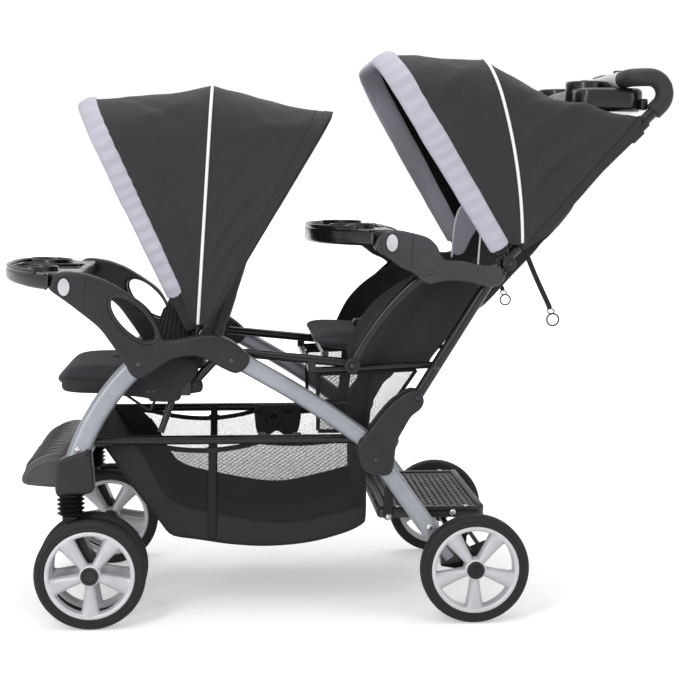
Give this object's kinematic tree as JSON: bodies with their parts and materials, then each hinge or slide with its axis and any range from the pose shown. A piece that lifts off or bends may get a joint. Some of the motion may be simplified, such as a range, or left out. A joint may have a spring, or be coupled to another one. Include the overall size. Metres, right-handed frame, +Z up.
{
  "type": "tandem stroller",
  "caption": "Tandem stroller with seats in line, folding canopies, child trays, swivel front wheels, a basket and a folding handle with a parent tray",
  "frame": {"origin": "On the floor under the middle of the overall box, in the centre plane", "axes": "+X to the rear, where the handle is; +Z up; -Y to the side that the picture shows"},
  "size_m": [1.1617, 0.526, 1.0018],
  "materials": {
    "tube_silver": "satin",
    "tube_black": "gloss",
    "plastic_charcoal": "satin",
    "plastic_black": "satin",
    "plastic_tray": "satin",
    "plastic_grey": "satin",
    "tyre_black": "matte",
    "rim_grey": "satin",
    "rubber_black": "satin",
    "grip_foam": "matte",
    "footrest_brown": "satin",
    "platform_grey": "satin",
    "basket_cloth": "matte",
    "seat_cloth": "matte",
    "canopy_cloth": "matte",
    "band_cloth": "matte",
    "bow_wire": "satin",
    "rivet_steel": "satin",
    "webbing": "matte"
  },
  "bodies": {
    "chassis": {"side_plate_left": "plastic_charcoal", "side_plate_right": "plastic_charcoal", "front_legs": "tube_silver", "rear_tubes": "tube_silver", "rear_legs": "tube_silver", "hinge_housings": "plastic_charcoal", "strut_housings": "plastic_charcoal", "lower_rails": "tube_black", "seat_rails": "tube_black", "footrest": "footrest_brown", "standing_platform": "platform_grey", "rear_axle_frame": "tube_black", "basket": "basket_cloth", "front_seat_frame": "tube_black", "front_seat_cushion": "seat_cloth", "rear_seat_cushion": "seat_cloth", "rear_seat_sides": "seat_cloth", "frame_rivets": "rivet_steel", "front_canopy_rear_bow": "bow_wire", "front_canopy_cover": "canopy_cloth"},
    "push_frame": {"push_bar": "tube_black", "handle_grips": "grip_foam", "handle_cover": "plastic_grey", "parent_tray": "plastic_black", "recline_straps": "webbing", "recline_rings": "webbing", "rear_canopy_cover": "canopy_cloth"},
    "latches": {"latch_sleeves": "plastic_black"},
    "uprights": {"armrest_uprights": "tube_black"},
    "armrests": {"armrest_left": "plastic_charcoal", "armrest_right": "plastic_charcoal"},
    "front_tray_body": {"front_tray": "plastic_tray"},
    "rear_tray_body": {"rear_tray": "plastic_tray"},
    "brake": {"brake_pedals": "plastic_black"},
    "front_backrest_body": {"front_backrest": "seat_cloth"},
    "rear_backrest_body": {"rear_backrest": "seat_cloth"},
    "front_canopy_mid": {"front_canopy_mid_bow": "bow_wire"},
    "front_canopy_front": {"front_canopy_front_bow": "bow_wire", "front_canopy_band": "band_cloth"},
    "rear_canopy_mid": {"rear_canopy_mid_bow": "bow_wire"},
    "rear_canopy_front": {"rear_canopy_front_bow": "bow_wire", "rear_canopy_band": "band_cloth"},
    "caster_left": {"caster_fork_left": "plastic_black", "caster_boot_left": "rubber_black"},
    "front_wheels_left": {"front_tyres_left": "tyre_black", "front_rims_left": "rim_grey", "front_axle_left": "plastic_black"},
    "rear_wheel_left": {"rear_tyre_left": "tyre_black", "rear_rim_left": "rim_grey"},
    "front_button_left": {"front_tray_button_left": "plastic_grey"},
    "rear_button_left": {"rear_tray_button_left": "plastic_grey"},
    "caster_right": {"caster_fork_right": "plastic_black", "caster_boot_right": "rubber_black"},
    "front_wheels_right": {"front_tyres_right": "tyre_black", "front_rims_right": "rim_grey", "front_axle_right": "plastic_black"},
    "rear_wheel_right": {"rear_tyre_right": "tyre_black", "rear_rim_right": "rim_grey"},
    "front_button_right": {"front_tray_button_right": "plastic_grey"},
    "rear_button_right": {"rear_tray_button_right": "plastic_grey"}
  },
  "joints": [
    {"name": "caster_swivel_left", "type": "hinge", "parent": "chassis", "child": "caster_left", "pos_m": [-0.464, -0.215, 0.2], "axis": [0, 0, 1], "continuous": true},
    {"name": "front_wheel_spin_left", "type": "hinge", "parent": "caster_left", "child": "front_wheels_left", "pos_m": [-0.43, -0.215, 0.096], "axis": [0, 1, 0], "continuous": true},
    {"name": "rear_wheel_spin_left", "type": "hinge", "parent": "chassis", "child": "rear_wheel_left", "pos_m": [0.239, -0.245, 0.096], "axis": [0, 1, 0], "continuous": true},
    {"name": "caster_swivel_right", "type": "hinge", "parent": "chassis", "child": "caster_right", "pos_m": [-0.464, 0.215, 0.2], "axis": [0, 0, 1], "continuous": true},
    {"name": "front_wheel_spin_right", "type": "hinge", "parent": "caster_right", "child": "front_wheels_right", "pos_m": [-0.43, 0.215, 0.096], "axis": [0, 1, 0], "continuous": true},
    {"name": "rear_wheel_spin_right", "type": "hinge", "parent": "chassis", "child": "rear_wheel_right", "pos_m": [0.239, 0.245, 0.096], "axis": [0, 1, 0], "continuous": true},
    {"name": "handle_fold", "type": "hinge", "parent": "chassis", "child": "push_frame", "pos_m": [0.17, 0, 0.4488], "axis": [0, -1, 0], "range_deg": [0, 12]},
    {"name": "upright_fold", "type": "hinge", "parent": "chassis", "child": "uprights", "pos_m": [0.023, 0, 0.453], "axis": [0, -1, 0], "range_deg": [0, 12]},
    {"name": "armrest_level", "type": "hinge", "parent": "push_frame", "child": "armrests", "pos_m": [0.291, 0, 0.632], "axis": [0, -1, 0], "range_deg": [-12, 0]},
    {"name": "latch_slide", "type": "slide", "parent": "push_frame", "child": "latches", "axis": [0.7071, 0, 0.7071], "range_m": [0, 0.008]},
    {"name": "front_tray_slide", "type": "slide", "parent": "chassis", "child": "front_tray_body", "axis": [-1, 0, 0], "range_m": [0, 0.06]},
    {"name": "rear_tray_slide", "type": "slide", "parent": "armrests", "child": "rear_tray_body", "axis": [1, 0, 0], "range_m": [-0.06, 0]},
    {"name": "front_button_press_left", "type": "slide", "parent": "chassis", "child": "front_button_left", "axis": [0, 1, 0], "range_m": [0, 0.003], "stiffness_N_per_m": 400},
    {"name": "rear_button_press_left", "type": "slide", "parent": "armrests", "child": "rear_button_left", "axis": [0, 1, 0], "range_m": [0, 0.003], "stiffness_N_per_m": 400},
    {"name": "front_button_press_right", "type": "slide", "parent": "chassis", "child": "front_button_right", "axis": [0, -1, 0], "range_m": [0, 0.003], "stiffness_N_per_m": 400},
    {"name": "rear_button_press_right", "type": "slide", "parent": "armrests", "child": "rear_button_right", "axis": [0, -1, 0], "range_m": [0, 0.003], "stiffness_N_per_m": 400},
    {"name": "brake_press", "type": "hinge", "parent": "chassis", "child": "brake", "pos_m": [0.239, 0, 0.096], "axis": [0, 1, 0], "range_deg": [0, 20]},
    {"name": "front_recline", "type": "hinge", "parent": "chassis", "child": "front_backrest_body", "pos_m": [-0.23535, 0, 0.4359], "axis": [0, 1, 0], "range_deg": [0, 7]},
    {"name": "rear_recline", "type": "hinge", "parent": "push_frame", "child": "rear_backrest_body", "pos_m": [0.18813, 0, 0.47817], "axis": [0, 1, 0], "range_deg": [0, 15]},
    {"name": "front_canopy_fold", "type": "hinge", "parent": "chassis", "child": "front_canopy_mid", "pos_m": [-0.246, 0, 0.492], "axis": [0, 1, 0], "range_deg": [0, 20], "deforming": ["front_canopy_cover"]},
    {"name": "front_canopy_fold_front", "type": "hinge", "parent": "front_canopy_mid", "child": "front_canopy_front", "pos_m": [-0.246, 0, 0.492], "axis": [0, 1, 0], "range_deg": [0, 20], "deforming": ["front_canopy_cover"]},
    {"name": "rear_canopy_fold", "type": "hinge", "parent": "push_frame", "child": "rear_canopy_mid", "pos_m": [0.291, 0, 0.632], "axis": [0, 1, 0], "range_deg": [0, 24], "deforming": ["rear_canopy_cover"]},
    {"name": "rear_canopy_fold_front", "type": "hinge", "parent": "rear_canopy_mid", "child": "rear_canopy_front", "pos_m": [0.291, 0, 0.632], "axis": [0, 1, 0], "range_deg": [0, 13.2], "deforming": ["rear_canopy_cover"]}
  ],
  "couplings": [
    {"joint": "upright_fold", "follows": "handle_fold", "ratio": 1},
    {"joint": "armrest_level", "follows": "handle_fold", "ratio": -1},
    {"joint": "front_canopy_fold_front", "follows": "front_canopy_fold", "ratio": 1},
    {"joint": "rear_canopy_fold_front", "follows": "rear_canopy_fold", "ratio": 0.55}
  ]
}
